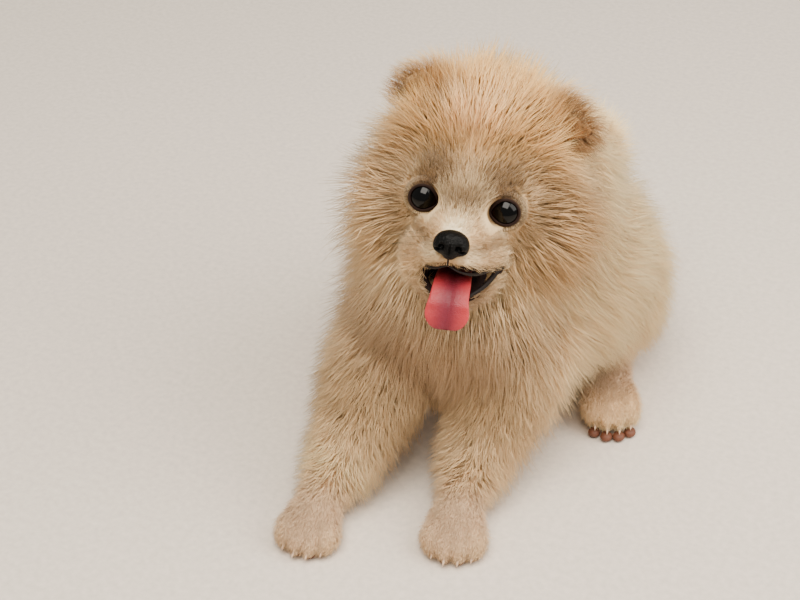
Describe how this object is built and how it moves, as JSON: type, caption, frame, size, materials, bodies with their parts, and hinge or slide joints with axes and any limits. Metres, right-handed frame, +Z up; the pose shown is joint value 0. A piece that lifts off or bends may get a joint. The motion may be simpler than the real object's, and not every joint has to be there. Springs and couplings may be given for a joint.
{
  "type": "dog, small long-coated spitz puppy, life-size display model",
  "caption": "Life-size still model of a fluffy Pomeranian puppy, sitting with its front legs stretched forward, head up, mouth open and tongue out.",
  "frame": {"origin": "on the floor, under the middle of the puppy's bounding box", "axes": "+X to the puppy's own left, +Y towards its rump, +Z up; its front paws point along -Y"},
  "size_m": [0.1246, 0.2268, 0.1715],
  "materials": {
    "coat_tan": "soft long coat, tan with cream tips",
    "coat_cream": "soft long coat, cream",
    "coat_brown": "short soft coat, warm brown",
    "coat_pale": "short soft coat, pale cream",
    "nose_leather": "moist black, finely grained",
    "eye": "polished, near black",
    "tongue": "wet, soft, finely grained"
  },
  "bodies": {
    "root": {"head": "coat_tan", "lower_jaw": "coat_tan", "tongue": "tongue", "nose": "nose_leather", "eye_left": "eye", "eye_right": "eye", "ear_left": "coat_brown", "ear_right": "coat_brown", "neck": "coat_tan", "torso": "coat_cream", "tail": "coat_cream", "front_leg_left": "coat_cream", "front_leg_right": "coat_cream", "hind_leg_left": "coat_cream", "hind_leg_right": "coat_cream", "front_paw_left": "coat_pale", "front_paw_right": "coat_pale", "hind_paw_left": "coat_pale", "hind_paw_right": "coat_pale"}
  },
  "joints": []
}
